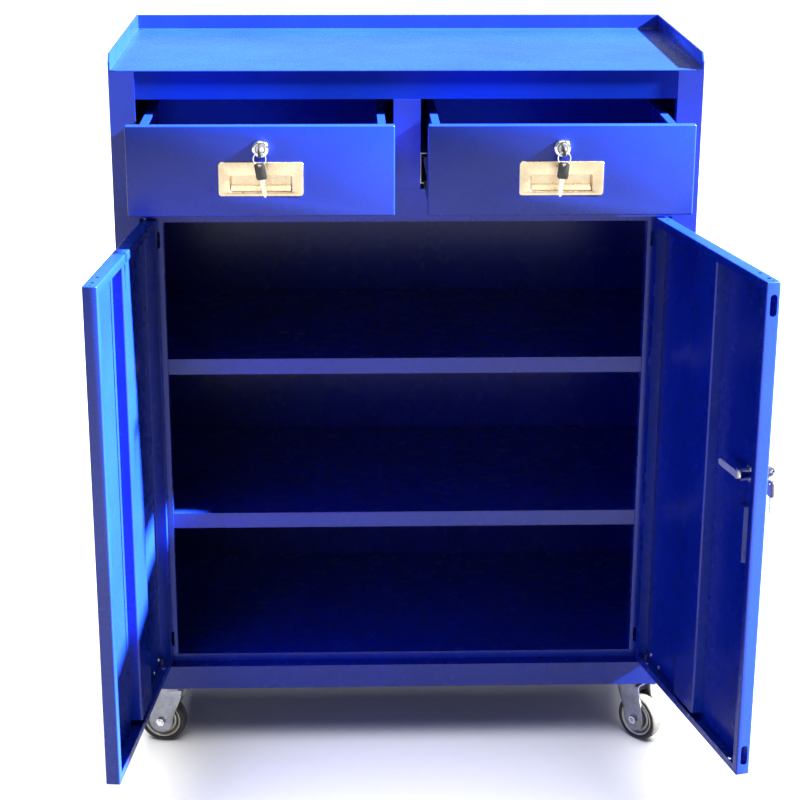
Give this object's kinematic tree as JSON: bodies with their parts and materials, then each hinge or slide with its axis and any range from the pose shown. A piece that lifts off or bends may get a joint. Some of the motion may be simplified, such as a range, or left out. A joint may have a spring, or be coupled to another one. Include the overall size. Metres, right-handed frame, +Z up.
{
  "type": "rolling tool chest",
  "caption": "Blue sheet-steel tool chest on casters with two drawers over a shelved cupboard with two doors.",
  "frame": {"origin": "middle of the whole footprint, on the floor that the casters stand on", "axes": "+Z up; +X towards the chest's right side, seen from its front; -Y out of the front, so the drawers pull out along -Y"},
  "size_m": [0.921, 0.8069, 1.105],
  "materials": {
    "blue_paint": "satin blue powder coat with a fine orange-peel texture",
    "zinc": "bright zinc plate",
    "nickel": "warm satin nickel plate",
    "chrome": "polished chrome",
    "black_plastic": "moulded black plastic, slightly glossy",
    "tyre_rubber": "black rubber tyre on a grey hub"
  },
  "bodies": {
    "cabinet": {"back_panel": "blue_paint", "centre_post": "blue_paint", "dust_panel": "blue_paint", "floor_panel": "blue_paint", "front_left_caster_plate": "zinc", "front_right_caster_plate": "zinc", "left_base_channel": "blue_paint", "left_bottom_pivot": "zinc", "left_inner_runner": "zinc", "left_outer_runner": "zinc", "left_side_panel": "blue_paint", "left_top_pivot": "zinc", "lower_shelf": "blue_paint", "mid_rail": "blue_paint", "rear_left_caster_plate": "zinc", "rear_right_caster_plate": "zinc", "right_base_channel": "blue_paint", "right_bottom_pivot": "zinc", "right_inner_runner": "zinc", "right_outer_runner": "zinc", "right_side_panel": "blue_paint", "right_top_pivot": "zinc", "slide_support": "blue_paint", "top_rail": "blue_paint", "upper_shelf": "blue_paint", "worktop": "blue_paint"},
    "left_drawer": {"left_drawer_front": "blue_paint", "left_drawer_box": "blue_paint", "left_drawer_outer_slide": "zinc", "left_drawer_inner_slide": "zinc", "left_drawer_pull": "nickel", "left_drawer_lock_body": "chrome"},
    "left_drawer_lock": {"left_drawer_lock_cam": "zinc", "left_drawer_key": "black_plastic"},
    "left_drawer_spare_key": {"left_drawer_spare_key": "black_plastic"},
    "left_door": {"left_door": "blue_paint", "left_door_pull": "nickel"},
    "right_drawer": {"right_drawer_front": "blue_paint", "right_drawer_box": "blue_paint", "right_drawer_outer_slide": "zinc", "right_drawer_inner_slide": "zinc", "right_drawer_pull": "nickel", "right_drawer_lock_body": "chrome"},
    "right_drawer_lock": {"right_drawer_lock_cam": "zinc", "right_drawer_key": "black_plastic"},
    "right_drawer_spare_key": {"right_drawer_spare_key": "black_plastic"},
    "right_door": {"right_door": "blue_paint", "right_door_pull": "nickel", "right_door_lock_body": "chrome"},
    "right_door_lock": {"right_door_lock_cam": "zinc", "right_door_key": "black_plastic"},
    "right_door_spare_key": {"right_door_spare_key": "black_plastic"},
    "front_left_caster": {"front_left_fork": "zinc"},
    "front_left_caster_wheel": {"front_left_wheel": "tyre_rubber"},
    "front_right_caster": {"front_right_fork": "zinc"},
    "front_right_caster_wheel": {"front_right_wheel": "tyre_rubber"},
    "rear_left_caster": {"rear_left_fork": "zinc"},
    "rear_left_caster_wheel": {"rear_left_wheel": "tyre_rubber"},
    "rear_right_caster": {"rear_right_fork": "zinc"},
    "rear_right_caster_wheel": {"rear_right_wheel": "tyre_rubber"}
  },
  "joints": [
    {"name": "left_drawer_slide", "type": "slide", "parent": "cabinet", "child": "left_drawer", "axis": [0, -1, 0], "range_m": [-0.18, 0.12]},
    {"name": "left_drawer_key_turn", "type": "hinge", "parent": "left_drawer", "child": "left_drawer_lock", "pos_m": [-0.23723, -0.20968, 1.0045], "axis": [0, -1, 0], "range_deg": [0, 90]},
    {"name": "left_drawer_spare_key_swing", "type": "hinge", "parent": "left_drawer_lock", "child": "left_drawer_spare_key", "pos_m": [-0.23723, -0.23867, 1.0045], "axis": [-1, 0, 0], "range_deg": [-20, 80]},
    {"name": "left_door_hinge", "type": "hinge", "parent": "cabinet", "child": "left_door", "pos_m": [-0.41423, -0.02567, 0.5075], "axis": [0, 0, -1], "range_deg": [-96.4, 23.6]},
    {"name": "right_drawer_slide", "type": "slide", "parent": "cabinet", "child": "right_drawer", "axis": [0, -1, 0], "range_m": [-0.18, 0.12]},
    {"name": "right_drawer_key_turn", "type": "hinge", "parent": "right_drawer", "child": "right_drawer_lock", "pos_m": [0.17077, -0.20968, 1.0045], "axis": [0, -1, 0], "range_deg": [0, 90]},
    {"name": "right_drawer_spare_key_swing", "type": "hinge", "parent": "right_drawer_lock", "child": "right_drawer_spare_key", "pos_m": [0.17077, -0.23867, 1.0045], "axis": [-1, 0, 0], "range_deg": [-20, 80]},
    {"name": "right_door_hinge", "type": "hinge", "parent": "cabinet", "child": "right_door", "pos_m": [0.34777, -0.02567, 0.5075], "axis": [0, 0, 1], "range_deg": [-103.3, 16.7]},
    {"name": "right_door_key_turn", "type": "hinge", "parent": "right_door", "child": "right_door_lock", "pos_m": [0.42735, -0.34493, 0.583], "axis": [0.9732, 0.23, 0], "range_deg": [0, 180]},
    {"name": "right_door_spare_key_swing", "type": "hinge", "parent": "right_door_lock", "child": "right_door_spare_key", "pos_m": [0.45557, -0.33826, 0.583], "axis": [0.23, -0.9732, 0], "range_deg": [-20, 80]},
    {"name": "front_left_swivel", "type": "hinge", "parent": "cabinet", "child": "front_left_caster", "pos_m": [-0.40323, 0.01333, 0.0955], "axis": [0, 0, 1], "continuous": true},
    {"name": "front_left_wheel_spin", "type": "hinge", "parent": "front_left_caster", "child": "front_left_caster_wheel", "pos_m": [-0.41888, 0.01665, 0.0375], "axis": [-0.2079, -0.9781, 0], "continuous": true},
    {"name": "front_right_swivel", "type": "hinge", "parent": "cabinet", "child": "front_right_caster", "pos_m": [0.33677, 0.01333, 0.0955], "axis": [0, 0, 1], "continuous": true},
    {"name": "front_right_wheel_spin", "type": "hinge", "parent": "front_right_caster", "child": "front_right_caster_wheel", "pos_m": [0.34747, 0.00144, 0.0375], "axis": [0.7431, 0.6691, 0], "continuous": true},
    {"name": "rear_left_swivel", "type": "hinge", "parent": "cabinet", "child": "rear_left_caster", "pos_m": [-0.40323, 0.34932, 0.0955], "axis": [0, 0, 1], "continuous": true},
    {"name": "rear_left_wheel_spin", "type": "hinge", "parent": "rear_left_caster", "child": "rear_left_caster_wheel", "pos_m": [-0.40601, 0.36508, 0.0375], "axis": [-0.9848, -0.1736, 0], "continuous": true},
    {"name": "rear_right_swivel", "type": "hinge", "parent": "cabinet", "child": "rear_right_caster", "pos_m": [0.33677, 0.34932, 0.0955], "axis": [0, 0, 1], "continuous": true},
    {"name": "rear_right_wheel_spin", "type": "hinge", "parent": "rear_right_caster", "child": "rear_right_caster_wheel", "pos_m": [0.34353, 0.36383, 0.0375], "axis": [-0.9063, 0.4226, 0], "continuous": true}
  ]
}
